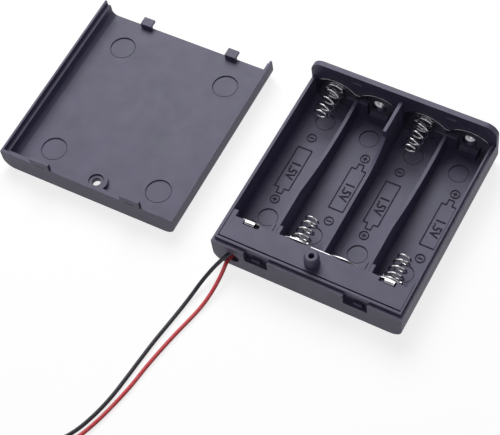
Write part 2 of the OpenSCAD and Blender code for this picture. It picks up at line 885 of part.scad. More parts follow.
module lead_tip(route) {
    end = route[len(route) - 1];
    before = smooth(route, lead_rings)[lead_rings - 1];
    color("#c8cacc")
        translate(end) rotate([0, 0, atan2(end[1] - before[1], end[0] - before[0])])
            rotate([0, 90, 0]) cylinder(d = core_d, h = tinned_len, $fn = 24);
}

case_tray();
cover();
compartment_plate();
rear_link_plate(0);  // rear_link_plate_left
rear_link_plate(2);  // rear_link_plate_right
front_link_plate();
positive_end_plate();
negative_end_plate();
rear_spring(bay_x[0]);  // spring_bay1_rear
front_spring(bay_x[1]);  // spring_bay2_front
rear_spring(bay_x[2]);  // spring_bay3_rear
front_spring(bay_x[3]);  // spring_bay4_front
switch_frame();
switch_base();
switch_terminal(-1);  // switch_terminal_left
switch_terminal(0);  // switch_terminal_middle
switch_terminal(1);  // switch_terminal_right
switch_knob();
switch_shoe();
solder_joints();
jumper_wire();
color("#d8484f") lead(red_route);  // red_lead
color("#2b2d2e") lead(black_route);  // black_lead
lead_tip(red_route);  // red_lead_tip
lead_tip(black_route);  // black_lead_tip
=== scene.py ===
import math

import bmesh
import bpy
from mathutils import Matrix, Vector


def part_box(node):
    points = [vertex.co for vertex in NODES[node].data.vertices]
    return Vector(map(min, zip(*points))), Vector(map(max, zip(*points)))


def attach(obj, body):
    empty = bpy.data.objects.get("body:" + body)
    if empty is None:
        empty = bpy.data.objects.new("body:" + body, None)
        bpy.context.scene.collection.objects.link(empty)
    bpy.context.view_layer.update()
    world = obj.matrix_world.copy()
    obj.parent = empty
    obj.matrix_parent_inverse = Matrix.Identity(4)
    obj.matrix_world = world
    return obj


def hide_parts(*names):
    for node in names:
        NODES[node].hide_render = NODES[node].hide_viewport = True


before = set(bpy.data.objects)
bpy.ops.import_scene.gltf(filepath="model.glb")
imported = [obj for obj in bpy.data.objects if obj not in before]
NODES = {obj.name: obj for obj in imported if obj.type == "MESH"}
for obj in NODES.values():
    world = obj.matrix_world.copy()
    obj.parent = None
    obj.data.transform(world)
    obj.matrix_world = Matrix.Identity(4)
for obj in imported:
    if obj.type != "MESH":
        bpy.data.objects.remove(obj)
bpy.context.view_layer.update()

MM = 0.001
BODY = "holder"

# Layout of the tray, in millimetres, as the construction has it
BAY_PITCH = 15.8
BAY_X = [BAY_PITCH * step for step in (-1.5, -0.5, 0.5, 1.5)]
BAY_FLOOR = 1.6
CELL_AXIS = 8.85
FRONT_FACE = -35.0

# How the cover lies beside it: its middle in millimetres and its turn in degrees
COVER_PLACE = (-80.6, 0.4)
COVER_TURN = 0.6


def mm(*values):
    """Millimetres as a point in metres."""
    return Vector(values) * MM


def metres(sizes):
    """Named sizes in millimetres, as a growth takes them."""
    return {label: size * MM for label, size in sizes.items()}


# ---- Camera ----

# Angles in degrees, and lengths in millimetres
AZIMUTH, ELEVATION, ROLL = (math.radians(a) for a in (37.865, 58.38, -10.89))
CAMERA_DISTANCE = 500.08
CAMERA_SLIDE = (-33.95, -2.80)
SENSOR = 36.0
LENS = 113.79


def make_camera():
    """Looks down into the bays from the front right, a little tilted, as a product is laid out."""
    flat = math.cos(ELEVATION)
    to_camera = Vector((math.sin(AZIMUTH) * flat, -math.cos(AZIMUTH) * flat, math.sin(ELEVATION)))
    right = Vector((math.cos(AZIMUTH), math.sin(AZIMUTH), 0))
    up = right.cross(-to_camera)
    tilted_right = math.cos(ROLL) * right + math.sin(ROLL) * up
    tilted_up = math.cos(ROLL) * up - math.sin(ROLL) * right
    place = (to_camera * CAMERA_DISTANCE + tilted_right * CAMERA_SLIDE[0]
             + tilted_up * CAMERA_SLIDE[1]) * MM
    axes = Matrix((tilted_right, tilted_up, to_camera)).transposed().to_4x4()
    data = bpy.data.cameras.new("camera")
    data.sensor_width = SENSOR
    data.lens = LENS
    data.clip_start = 0.01
    camera = bpy.data.objects.new("camera", data)
    camera.matrix_world = Matrix.Translation(place) @ axes
    bpy.context.scene.collection.objects.link(camera)
    bpy.context.scene.camera = camera


make_camera()


# ---- Nodes ----

def add(tree, kind, settings=None, inputs=None):
    """Adds a node. Settings are its attributes. An input takes a plain value, a socket or a node,
    which stands for its first output, or a list of these where it joins several."""
    node = tree.nodes.new(kind)
    for name, value in (settings or {}).items():
        setattr(node, name, value)
    for name, value in (inputs or {}).items():
        for source in value if isinstance(value, list) else [value]:
            if isinstance(source, bpy.types.Node):
                source = source.outputs[0]
            if isinstance(source, bpy.types.NodeSocket):
                tree.links.new(source, node.inputs[name])
            else:
                node.inputs[name].default_value = source
    return node


# ---- Materials ----

def linear(code):
    """An sRGB hex colour as linear red, green, blue and alpha."""
    channels = [int(code[i:i + 2], 16) / 255 for i in (1, 3, 5)]
    curve = [c / 12.92 if c <= 0.04045 else ((c + 0.055) / 1.055) ** 2.4 for c in channels]
    return (*curve, 1.0)


# The middle part of a cloud's 0 to 1 range, where nearly all of it lies
CLOUD_LOW, CLOUD_HIGH = 0.3, 0.7


def cloud(size, detail, softness=0.5, stretch=None):
    """A cloudy pattern with features of about `size` millimetres. It is drawn out along each axis
    whose stretch is under 1."""
    return {"Scale": 1 / (size * MM), "Detail": detail, "Roughness": softness}, stretch


def new_material(name, fixed, colour, roughness, relief=None):
    """A Principled material on Object coordinates. Colour and roughness are each a cloud and the
    two ends that it runs between, and relief is a cloud and its depth in millimetres."""
    material = bpy.data.materials.new(name)
    material.use_nodes = True
    tree = material.node_tree
    tree.nodes.clear()
    place = add(tree, "ShaderNodeTexCoord").outputs["Object"]

    def spread(pattern):
        settings, stretch = pattern
        way = place
        if stretch:
            way = add(tree, "ShaderNodeMapping", inputs={"Vector": place, "Scale": stretch})
        return add(tree, "ShaderNodeTexNoise", inputs={"Vector": way, **settings})

    pattern, dark, light = colour
    ramp = add(tree, "ShaderNodeValToRGB", inputs={"Fac": spread(pattern)})
    ends = ((CLOUD_LOW, dark), (CLOUD_HIGH, light))
    for stop, (position, code) in zip(ramp.color_ramp.elements, ends):
        stop.position = position
        stop.color = linear(code)
    pattern, smooth, rough = roughness
    sheen = add(tree, "ShaderNodeMapRange", inputs={
        "Value": spread(pattern), "To Min": smooth, "To Max": rough})
    skin = {"Base Color": ramp, "Roughness": sheen, **fixed}
    if relief:
        pattern, depth = relief
        skin["Normal"] = add(tree, "ShaderNodeBump", inputs={
            "Strength": 1.0, "Distance": depth * MM, "Height": spread(pattern)})
    shader = add(tree, "ShaderNodeBsdfPrincipled", inputs=skin)
    add(tree, "ShaderNodeOutputMaterial", inputs={"Surface": shader})
    return material


def moulded_abs():
    """Black ABS from a spark-eroded mould: a satin skin that light turns to a violet grey, with
    faint cloudy flow marks."""
    flow_marks, satin = cloud(9, 3), cloud(4, 2)
    # The real grain is finer than 0.1 mm, so it is drawn coarser to show
    grain = cloud(0.35, 4, softness=0.6)
    return new_material("moulded_black_abs", {"IOR": 1.53},
                        colour=(flow_marks, "#54516b", "#5d5976"),
                        roughness=(satin, 0.46, 0.56), relief=(grain, 0.012))


def mark_abs_painted_shade():
    """The same ABS where the mould was engraved: a coarse dull skin. Its darker colour is painted
    shade, which stands for the thin shadows along the raised marks and the ring lines.
    """
    etched = cloud(0.3, 3)
    return new_material("mark_black_abs_painted_shade", {"IOR": 1.53},
                        colour=(etched, "#2c293a", "#373447"), roughness=(etched, 0.8, 0.95))


def nickel_strip():
    """Nickel-plated spring steel strip: a grey mirror with fine lines along its rolling
    direction, and a few dull patches from handling."""
    handled, rolled = cloud(2.5, 3), cloud(0.2, 2, stretch=(0.15, 1, 1))
    return new_material("nickel_plated_strip", {"Metallic": 1.0},
                        colour=(handled, "#9d9da1", "#bfbfc3"), roughness=(handled, 0.14, 0.26),
                        relief=(rolled, 0.004))


def nickel_wire():
    """Nickel-plated music wire: bright and hard, a little duller where the die has drawn it."""
    drawn = cloud(0.8, 3)
    return new_material("nickel_plated_wire", {"Metallic": 1.0},
                        colour=(drawn, "#b6b6b9", "#dadadc"), roughness=(drawn, 0.12, 0.24))


def pvc_insulation(name, dark, light):
    """Extruded PVC wire insulation: soft, slightly shiny, with a slow waver in its surface."""
    waver, skin = cloud(3, 2), cloud(1.2, 3)
    fixed = {"IOR": 1.53, "Subsurface Weight": 0.05, "Subsurface Scale": 0.4 * MM}
    return new_material(name, fixed, colour=(waver, dark, light), roughness=(waver, 0.36, 0.48),
                        relief=(skin, 0.02))


def tinned_copper():
    """Stranded copper dipped in tin: silvery, a little lumpy where the tin has run."""
    run = cloud(0.7, 3)
    return new_material("tinned_copper", {"Metallic": 1.0}, colour=(run, "#aeb0b2", "#dcdedf"),
                        roughness=(run, 0.2, 0.4), relief=(run, 0.03))


def soft_solder():
    """Tin solder with flux left on it: bright, wetted and slightly wrinkled."""
    wrinkles = cloud(0.5, 4)
    return new_material("soft_solder", {"Metallic": 1.0}, colour=(wrinkles, "#a8a9aa", "#e0e1e2"),
                        roughness=(wrinkles, 0.18, 0.38), relief=(wrinkles, 0.05))


def phenolic_board():
    """Paper-based phenolic board: brown, with short darker fibres."""
    fibres = cloud(0.25, 4, stretch=(0.3, 1, 1))
    return new_material("phenolic_board", {"IOR": 1.6}, colour=(fibres, "#6d4426", "#9a673c"),
                        roughness=(fibres, 0.4, 0.6))


def black_acetal():
    """Moulded acetal of the slider: dense black with a low waxy sheen."""
    wax, grain = cloud(1.5, 3), cloud(0.2, 3)
    return new_material("black_acetal", {"IOR": 1.48}, colour=(wax, "#1e1e22", "#2a2a2f"),
                        roughness=(wax, 0.35, 0.5), relief=(grain, 0.008))


def phosphor_bronze():
    """Phosphor bronze strip: a pinkish gold spring metal, lightly brushed."""
    brushed = cloud(0.1, 3, stretch=(0.1, 1, 1))
    return new_material("phosphor_bronze", {"Metallic": 1.0},
                        colour=(brushed, "#b98a52", "#d9b07a"), roughness=(brushed, 0.22, 0.34))


MOULDED_ABS = moulded_abs()
# The marks' ABS, darkened with painted shade for the shadows along their fine ridges
MARK_ABS_PAINTED_SHADE = mark_abs_painted_shade()
NICKEL_STRIP = nickel_strip()
NICKEL_WIRE = nickel_wire()
RED_PVC = pvc_insulation("red_pvc", "#fb4750", "#ff6a72")
BLACK_PVC = pvc_insulation("black_pvc", "#242230", "#2f2d3b")
TINNED_COPPER = tinned_copper()
SOFT_SOLDER = soft_solder()
PHENOLIC_BOARD = phenolic_board()
BLACK_ACETAL = black_acetal()
PHOSPHOR_BRONZE = phosphor_bronze()


# ---- Geometry Nodes ----

def new_growth(name, inputs):
    """A geometry tree with named inputs. Gives the tree, its input sockets and their identifiers."""
    tree = bpy.data.node_groups.new(name, "GeometryNodeTree")
    tree.interface.new_socket("Geometry", in_out="OUTPUT", socket_type="NodeSocketGeometry")
    kinds = {float: "NodeSocketFloat", int: "NodeSocketInt"}
    sockets = {}
    for label, default in inputs.items():
        kind = kinds.get(type(default), "NodeSocketMaterial")
        socket = tree.interface.new_socket(label, in_out="INPUT", socket_type=kind)
        sockets[label] = socket.identifier
    return tree, add(tree, "NodeGroupInput").outputs, sockets


def finish_growth(tree, given, geometry):
    """Closes a tree with real geometry in its material."""
    real = add(tree, "GeometryNodeRealizeInstances", inputs={"Geometry": geometry})
    dressed = add(tree, "GeometryNodeSetMaterial", inputs={
        "Geometry": real, "Material": given["Material"]})
    add(tree, "NodeGroupOutput", inputs={"Geometry": dressed})


def grow(name, growth, values, place=None):
    """Runs a tree with these values, and keeps the result as a plain mesh at the origin."""
    tree, _, sockets = growth
    host = bpy.data.objects.new(name + "_host", bpy.data.meshes.new(name + "_host"))
    bpy.context.scene.collection.objects.link(host)
    modifier = host.modifiers.new("growth", "NODES")
    modifier.node_group = tree
    for label, value in values.items():
        modifier[sockets[label]] = value
    return settle(name, host, place)


def settle(name, host, place=None):
    """Turns a host and its modifiers into one plain mesh, moved to its place."""
    bpy.context.view_layer.update()
    graph = bpy.context.evaluated_depsgraph_get()
    mesh = bpy.data.meshes.new_from_object(host.evaluated_get(graph), depsgraph=graph)
    mesh.name = name
    if place is not None:
        mesh.transform(place)
        if place.determinant() < 0:
            mesh.flip_normals()
    bpy.data.objects.remove(host)
    piece = bpy.data.objects.new(name, mesh)
    bpy.context.scene.collection.objects.link(piece)
    return piece


def shade(piece, angle=35):
    """Smooth shading that stays crisp at edges sharper than the angle."""
    piece.data.shade_smooth()
    piece.data.set_sharp_from_angle(angle=math.radians(angle))


def conical_spring():
    """Wire wound in a cone: one flat turn at the base, an even rise, and a flat end."""
    growth = new_growth("conical_spring", {
        "Base radius": 0.0, "Tip radius": 0.0, "Wire radius": 0.0, "Turns": 0.0,
        "Flat end": 0.0, "Free length": 0.0, "Steps": 1, "Material": NICKEL_WIRE})
    tree, given, _ = growth
    line = add(tree, "GeometryNodeCurvePrimitiveLine")
    steps = add(tree, "GeometryNodeResampleCurve", {"mode": "COUNT"}, {
        "Curve": line, "Count": given["Steps"]})
    along = add(tree, "GeometryNodeSplineParameter").outputs["Factor"]
    turn = add(tree, "ShaderNodeMath", {"operation": "MULTIPLY"}, {0: along, 1: given["Turns"]})
    angle = add(tree, "ShaderNodeMath", {"operation": "MULTIPLY"}, {0: turn, 1: math.tau})
    radius = add(tree, "ShaderNodeMapRange", inputs={
        "Value": turn, "From Min": 1.0, "From Max": given["Turns"],
        "To Min": given["Base radius"], "To Max": given["Tip radius"]})
    last_rise = add(tree, "ShaderNodeMath", {"operation": "SUBTRACT"}, {
        0: given["Turns"], 1: given["Flat end"]})
    top = add(tree, "ShaderNodeMath", {"operation": "SUBTRACT"}, {
        0: given["Free length"], 1: given["Wire radius"]})
    height = add(tree, "ShaderNodeMapRange", inputs={
        "Value": turn, "From Min": 1.0, "From Max": last_rise,
        "To Min": given["Wire radius"], "To Max": top})
    around = {}
    for axis, operation in (("X", "COSINE"), ("Y", "SINE")):
        share = add(tree, "ShaderNodeMath", {"operation": operation}, {0: angle})
        around[axis] = add(tree, "ShaderNodeMath", {"operation": "MULTIPLY"}, {
            0: radius, 1: share})
    place = add(tree, "ShaderNodeCombineXYZ", inputs={**around, "Z": height})
    coil = add(tree, "GeometryNodeSetPosition", inputs={"Geometry": steps, "Position": place})
    section = add(tree, "GeometryNodeCurvePrimitiveCircle", inputs={
        "Resolution": 14, "Radius": given["Wire radius"]})
    body = add(tree, "GeometryNodeCurveToMesh", inputs={
        "Curve": coil, "Profile Curve": section, "Fill Caps": True})
    finish_growth(tree, given, body)
    return growth


def strand_bundle():
    """Strands of one wire laid in a screw line round a straight core strand."""
    growth = new_growth("strand_bundle", {
        "Strands": 1, "Strand radius": 0.0, "Lay radius": 0.0, "Length": 0.0, "Turns": 0.0,
        "Material": TINNED_COPPER})
    tree, given, _ = growth
    screw = add(tree, "GeometryNodeCurveSpiral", inputs={
        "Resolution": 24, "Rotations": given["Turns"], "Start Radius": given["Lay radius"],
        "End Radius": given["Lay radius"], "Height": given["Length"]})
    points = add(tree, "GeometryNodePoints", inputs={"Count": given["Strands"]})
    index = add(tree, "GeometryNodeInputIndex")
    share = add(tree, "ShaderNodeMath", {"operation": "DIVIDE"}, {0: index, 1: given["Strands"]})
    angle = add(tree, "ShaderNodeMath", {"operation": "MULTIPLY"}, {0: share, 1: math.tau})
    turned = add(tree, "ShaderNodeCombineXYZ", inputs={"Z": angle})
    round_core = add(tree, "GeometryNodeInstanceOnPoints", inputs={
        "Points": points, "Instance": screw, "Rotation": turned})
    top = add(tree, "ShaderNodeCombineXYZ", inputs={"Z": given["Length"]})
    core = add(tree, "GeometryNodeCurvePrimitiveLine", inputs={"End": top})
    laid = add(tree, "GeometryNodeRealizeInstances", inputs={"Geometry": round_core})
    every = add(tree, "GeometryNodeJoinGeometry", inputs={"Geometry": [laid, core]})
    section = add(tree, "GeometryNodeCurvePrimitiveCircle", inputs={
        "Resolution": 10, "Radius": given["Strand radius"]})
    body = add(tree, "GeometryNodeCurveToMesh", inputs={
        "Curve": every, "Profile Curve": section, "Fill Caps": True})
    finish_growth(tree, given, body)
    return growth


# Half length of a plus or minus stroke, as a share of the radius of the ring round it
STROKE_SHARE = 0.55


def polarity_mark(tree, given, ridge, shift, plus):
    """A ring with a minus or a plus in it, drawn in the floor's plane."""
    ring = add(tree, "GeometryNodeCurvePrimitiveCircle", inputs={
        "Resolution": 32, "Radius": given["Ring radius"]})
    half = add(tree, "ShaderNodeMath", {"operation": "MULTIPLY"}, {
        0: given["Ring radius"], 1: STROKE_SHARE})
    other = add(tree, "ShaderNodeMath", {"operation": "MULTIPLY"}, {0: half, 1: -1.0})
    drawn = [ring]
    for axis in ("XY" if plus else "X"):
        start = add(tree, "ShaderNodeCombineXYZ", inputs={axis: other})
        end = add(tree, "ShaderNodeCombineXYZ", inputs={axis: half})
        drawn.append(add(tree, "GeometryNodeCurvePrimitiveLine", inputs={
            "Start": start, "End": end}))
    strokes = add(tree, "GeometryNodeJoinGeometry", inputs={"Geometry": drawn})
    place = add(tree, "ShaderNodeCombineXYZ", inputs={"X": given["Side shift"], "Y": shift})
    moved = add(tree, "GeometryNodeTransform", inputs={"Geometry": strokes, "Translation": place})
    return add(tree, "GeometryNodeCurveToMesh", inputs={
        "Curve": moved, "Profile Curve": ridge, "Fill Caps": True})


def cell_contour(tree, given):
    """A cell seen from the side, its button ahead of it, as eight straight lines."""
    def half(size, side):
        return add(tree, "ShaderNodeMath", {"operation": "MULTIPLY"}, {
            0: given[size], 1: side / 2})

    xs = {}
    for name, size, side in (("right", "Cell width", 1), ("left", "Cell width", -1),
                             ("near", "Button width", 1), ("far", "Button width", -1)):
        xs[name] = add(tree, "ShaderNodeMath", {"operation": "ADD"}, {
            0: given["Side shift"], 1: half(size, side)})
    ys = {"back": half("Cell length", 1), "front": half("Cell length", -1)}
    ys["tip"] = add(tree, "ShaderNodeMath", {"operation": "SUBTRACT"}, {
        0: ys["front"], 1: given["Button length"]})
    corners = [add(tree, "ShaderNodeCombineXYZ", inputs={"X": xs[x], "Y": ys[y]})
               for x, y in (("right", "back"), ("right", "front"), ("near", "front"),
                            ("near", "tip"), ("far", "tip"), ("far", "front"),
                            ("left", "front"), ("left", "back"))]
    lines = [add(tree, "GeometryNodeCurvePrimitiveLine", inputs={"Start": start, "End": end})
             for start, end in zip(corners, corners[1:] + corners[:1])]
    return add(tree, "GeometryNodeJoinGeometry", inputs={"Geometry": lines})


def bay_marks():
    """Low moulded ridges on each bay's floor, which show how a cell goes in: its outline with
    the button, a minus behind and a plus before it. Every second bay has them turned round."""
    growth = new_growth("bay_marks", {
        "Bays": 1, "Pitch": 0.0, "Cell width": 0.0, "Cell length": 0.0, "Button width": 0.0,
        "Button length": 0.0, "Ring radius": 0.0, "Ring distance": 0.0, "Side shift": 0.0,
        "Ridge width": 0.0, "Ridge height": 0.0, "Material": MARK_ABS_PAINTED_SHADE})
    tree, given, _ = growth
    # A ridge is drawn on its middle line, so half of its section lies in the floor
    ridge_size = add(tree, "ShaderNodeMath", {"operation": "MULTIPLY"}, {
        0: given["Ridge height"], 1: 2.0})
    ridge = add(tree, "GeometryNodeCurvePrimitiveQuadrilateral", inputs={
        "Width": given["Ridge width"], "Height": ridge_size})
    outline = add(tree, "GeometryNodeCurveToMesh", inputs={
        "Curve": cell_contour(tree, given), "Profile Curve": ridge, "Fill Caps": True})
    ahead = add(tree, "ShaderNodeMath", {"operation": "MULTIPLY"}, {
        0: given["Ring distance"], 1: -1.0})
    minus = polarity_mark(tree, given, ridge, given["Ring distance"], plus=False)
    plus = polarity_mark(tree, given, ridge, ahead, plus=True)
    marks = add(tree, "GeometryNodeJoinGeometry", inputs={"Geometry": [outline, minus, plus]})
    bay_step = add(tree, "ShaderNodeCombineXYZ", inputs={"X": given["Pitch"]})
    bays = add(tree, "GeometryNodeMeshLine", inputs={"Count": given["Bays"], "Offset": bay_step})
    index = add(tree, "GeometryNodeInputIndex")
    odd = add(tree, "ShaderNodeMath", {"operation": "MODULO"}, {0: index, 1: 2.0})
    half_turn = add(tree, "ShaderNodeMath", {"operation": "MULTIPLY"}, {0: odd, 1: math.pi})
    facing = add(tree, "ShaderNodeCombineXYZ", inputs={"Z": half_turn})
    placed = add(tree, "GeometryNodeInstanceOnPoints", inputs={
        "Points": bays, "Instance": marks, "Rotation": facing})
    finish_growth(tree, given, placed)
    return growth


def witness_rings():
    """Fine rings in two rows, where the ejector pins met the moulding."""
    growth = new_growth("witness_rings", {
        "Columns": 1, "Pitch": 0.0, "Row distance": 0.0, "Ring radius": 0.0, "Line radius": 0.0,
        "Material": MARK_ABS_PAINTED_SHADE})
    tree, given, _ = growth
    step = add(tree, "ShaderNodeCombineXYZ", inputs={"X": given["Pitch"]})
    row = add(tree, "GeometryNodeMeshLine", inputs={"Count": given["Columns"], "Offset": step})
    back = add(tree, "ShaderNodeCombineXYZ", inputs={"Y": given["Row distance"]})
    other = add(tree, "GeometryNodeTransform", inputs={"Geometry": row, "Translation": back})
    places = add(tree, "GeometryNodeJoinGeometry", inputs={"Geometry": [row, other]})
    circle = add(tree, "GeometryNodeCurvePrimitiveCircle", inputs={
        "Resolution": 56, "Radius": given["Ring radius"]})
    every = add(tree, "GeometryNodeInstanceOnPoints", inputs={
        "Points": places, "Instance": circle})
    laid = add(tree, "GeometryNodeRealizeInstances", inputs={"Geometry": every})
    section = add(tree, "GeometryNodeCurvePrimitiveCircle", inputs={
        "Resolution": 8, "Radius": given["Line radius"]})
    body = add(tree, "GeometryNodeCurveToMesh", inputs={"Curve": laid, "Profile Curve": section})
    finish_growth(tree, given, body)
    return growth


SPRING = conical_spring()
STRANDS = strand_bundle()
MARKS = bay_marks()
RINGS = witness_rings()


# ---- Leads ----

LEAD_DIAMETER = 1.3
JUMPER_DIAMETER = 1.0
TINNED_LENGTH = 5.0
STRAND_RADIUS = 0.13
STRANDS_ROUND_CORE = 6
STRAND_TURNS = 1.2
# Steps that a route takes from one chosen point to the next
ROUTE_STEPS = 8

# Chosen points of each route in millimetres, counted from the first bay's middle and the front face
RED_POINTS = [
    (-0.3, 8.4, 8.2), (-0.4, 6.8, 7.5), (-0.7, 5.2, 6), (-1.1, 3.6, 4.9), (-1.7, 2, 4.6),
    (-2.5, 0.2, 4.85), (-2.75, -2.3, 4.6), (-2.6, -5.4, 3.7), (-2.7, -9.2, 2.5), (-3.1, -13.4, 1.4),
    (-3.8, -18, 0.8), (-4.9, -23, 0.65), (-6.3, -29, 0.65), (-7.6, -35.5, 0.65), (-8.8, -42.5, 0.65),
    (-9.8, -50, 0.65), (-11.3, -57.5, 0.65), (-13.1, -64.5, 0.65), (-15.5, -71, 0.65),
    (-19.1, -77, 0.65), (-24.3, -81.8, 0.65), (-31.3, -84.6, 0.65), (-39.3, -85.5, 0.65),
    (-49.3, -85.6, 0.65), (-60.3, -85.4, 0.65), (-76.3, -85, 0.65)]
BLACK_POINTS = [
    (10.2, 5, 6.1), (8.4, 5, 7), (5.9, 4.9, 7.1), (3.4, 4.5, 7), (1.2, 3.8, 6.7),
    (-0.7, 2.9, 6.4), (-2, 1.6, 6.4), (-2.9, 0, 6.3), (-3.7, -1.4, 6.1), (-4.7, -3.2, 5.2),
    (-6.1, -5.8, 3.6), (-7.4, -10.4, 2.3), (-8.3, -15.5, 1.2), (-9.1, -20.8, 0.7),
    (-9.9, -26.5, 0.65), (-10.9, -33.5, 0.65), (-11.7, -41, 0.65), (-12.4, -48.5, 0.65),
    (-13.3, -56, 0.65), (-14.9, -63.2, 0.65), (-17.3, -69.8, 0.65), (-21.1, -75.6, 0.65),
    (-26.7, -80, 0.65), (-33.8, -82.3, 0.65), (-41.8, -83, 0.65), (-54.3, -83.1, 0.65),
    (-71.3, -82.8, 0.65)]
JUMPER_POINTS = [
    (47.6, 8.5, 8), (46, 7.5, 6.7), (43, 6.8, 4.6), (38.6, 6.8, 3.4), (33.7, 7.4, 2.6),
    (28.7, 8.3, 2.5), (23.7, 8.6, 2.7), (20.3, 8, 3.9), (17.7, 6.8, 5.7), (15.1, 6.8, 6.75),
    (12.7, 6.9, 6.15)]


def smooth_route(points):
    """Points in metres on one smooth curve through the chosen ones."""
    start = Vector((BAY_X[0], FRONT_FACE, 0))
    chosen = [Vector(p) + start for p in points]
    last = len(chosen) - 1
    route = []
    for step in range(last * ROUTE_STEPS + 1):
        i = min(step // ROUTE_STEPS, last - 1)
        t = step / ROUTE_STEPS - i
        a, b = chosen[max(i - 1, 0)], chosen[i]
        c, d = chosen[i + 1], chosen[min(i + 2, last)]
        route.append((2 * b + (c - a) * t + (2 * a - 5 * b + 4 * c - d) * t ** 2
                      + (3 * b - a - 3 * c + d) * t ** 3) * 0.5 * MM)
    return route


def wire(name, route, diameter, material):
    """Round insulated wire along a route, as one open curve."""
    curve = bpy.data.curves.new(name, "CURVE")
    curve.dimensions = "3D"
    curve.bevel_depth = diameter / 2 * MM
    curve.bevel_resolution = 5
    curve.use_fill_caps = True
    spline = curve.splines.new("POLY")
    spline.points.add(len(route) - 1)
    for point, place in zip(spline.points, route):
        point.co = (*place, 1)
    spline.use_smooth = True
    curve.materials.append(material)
    piece = bpy.data.objects.new(name, curve)
    bpy.context.scene.collection.objects.link(piece)
    return piece


def lead(name, points, material):
    """One free lead with its tinned end, in the place of its CAD tube and tip."""
    route = smooth_route(points)
    piece = wire(name + "_insulation", route, LEAD_DIAMETER, material)
    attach(piece, BODY)
    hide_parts(name)
    end, run = route[-1], (route[-1] - route[-2]).normalized()
    turn = run.to_track_quat("Z", "Y").to_matrix().to_4x4()
    sizes = metres({"Strand radius": STRAND_RADIUS, "Lay radius": 2 * STRAND_RADIUS,
                    "Length": TINNED_LENGTH})
    tip = grow(name + "_strands", STRANDS, {
        "Strands": STRANDS_ROUND_CORE, "Turns": STRAND_TURNS, "Material": TINNED_COPPER, **sizes},
        Matrix.Translation(end) @ turn)
    shade(tip)
    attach(tip, BODY)
    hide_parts(name + "_tip")


lead("red_lead", RED_POINTS, RED_PVC)
lead("black_lead", BLACK_POINTS, BLACK_PVC)

jumper = wire("jumper_insulation", smooth_route(JUMPER_POINTS), JUMPER_DIAMETER, BLACK_PVC)
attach(jumper, BODY)
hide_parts("jumper_wire")


# ---- Moulded and pressed pieces ----

# Radii in millimetres that a mould and a press leave on an edge
MOULDED_EDGE = 0.12
PRESSED_EDGE = 0.1
# Angles in degrees: faces nearer than this are one flat face, and edges past this are rounded
FLAT_WITHIN = 0.5
ROUNDED_PAST = 38
# Corners nearer than this, in metres, are one corner
MERGE_WITHIN = 1e-6


def dressed_copy(name, node, material, edge):
    """A merged copy of a CAD solid with softly rounded edges, which stands for that solid."""
    mesh = NODES[node].data.copy()
    mesh.materials.clear()
    mesh.materials.append(material)
    work = bmesh.new()
    work.from_mesh(mesh)
    bmesh.ops.remove_doubles(work, verts=work.verts, dist=MERGE_WITHIN)
    bmesh.ops.dissolve_limit(work, angle_limit=math.radians(FLAT_WITHIN), verts=work.verts,
                             edges=work.edges)
    work.to_mesh(mesh)
    work.free()
    host = bpy.data.objects.new(name + "_host", mesh)
    bpy.context.scene.collection.objects.link(host)
    mesh.shade_smooth()
    rounding = host.modifiers.new("rounding", "BEVEL")
    rounding.width = edge * MM
    rounding.segments = 2
    rounding.limit_method = "ANGLE"
    rounding.angle_limit = math.radians(ROUNDED_PAST)
    rounding.miter_outer = "MITER_ARC"
    weights = host.modifiers.new("weights", "WEIGHTED_NORMAL")
    weights.keep_sharp = True
    piece = settle(name, host)
    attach(piece, BODY)
    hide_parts(node)


dressed_copy("tray_moulding", "case_tray", MOULDED_ABS, MOULDED_EDGE)
dressed_copy("cover_moulding", "cover", MOULDED_ABS, MOULDED_EDGE)
dressed_copy("plate_moulding", "compartment_plate", MOULDED_ABS, MOULDED_EDGE)
for node in ("rear_link_plate_left", "rear_link_plate_right", "front_link_plate",
             "positive_end_plate", "negative_end_plate"):
    dressed_copy(node.replace("plate", "pressing"), node, NICKEL_STRIP, PRESSED_EDGE)

# The hidden pieces keep their CAD meshes
FINISHES = {"switch_frame": NICKEL_STRIP, "switch_base": PHENOLIC_BOARD,
            "switch_terminal_left": NICKEL_STRIP, "switch_terminal_middle": NICKEL_STRIP,
            "switch_terminal_right": NICKEL_STRIP, "switch_knob": BLACK_ACETAL,
            "switch_shoe": PHOSPHOR_BRONZE, "solder_joints": SOFT_SOLDER}
for node, finish in FINISHES.items():
    NODES[node].data.materials.clear()
    NODES[node].data.materials.append(finish)


# ---- Springs ----

SPRING_SIZES = {"Base radius": 3.0, "Tip radius": 2.1, "Wire radius": 0.325}
SPRING_TURNS = 5.0
FLAT_END_TURNS = 0.5
STEPS_PER_TURN = 32
# A coil grows along its own Z, and these lay it along the bay. The second is its mirror image.
TOWARDS_BACK = Matrix(((1, 0, 0, 0), (0, 0, 1, 0), (0, -1, 0, 0), (0, 0, 0, 1)))
TOWARDS_FRONT = Matrix.Scale(-1, 4, Vector((0, 1, 0))) @ TOWARDS_BACK


def contact_spring(node, bay, at_back):
    """The coil of one CAD spring, from its base on the link or end plate to its free end."""
    low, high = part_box(node)
    base_y = high.y if at_back else low.y
    values = {"Turns": SPRING_TURNS, "Flat end": FLAT_END_TURNS, "Free length": high.y - low.y,
              "Steps": int(SPRING_TURNS * STEPS_PER_TURN) + 1, "Material": NICKEL_WIRE,
              **metres(SPRING_SIZES)}
    place = Matrix.Translation((BAY_X[bay] * MM, base_y, CELL_AXIS * MM))
    piece = grow(node + "_coil", SPRING, values,
                 place @ (TOWARDS_FRONT if at_back else TOWARDS_BACK))
    shade(piece, 60)
    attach(piece, BODY)
    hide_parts(node)


contact_spring("spring_bay1_rear", 0, True)
contact_spring("spring_bay2_front", 1, False)
contact_spring("spring_bay3_rear", 2, True)
contact_spring("spring_bay4_front", 3, False)


# ---- Marks on the mouldings ----

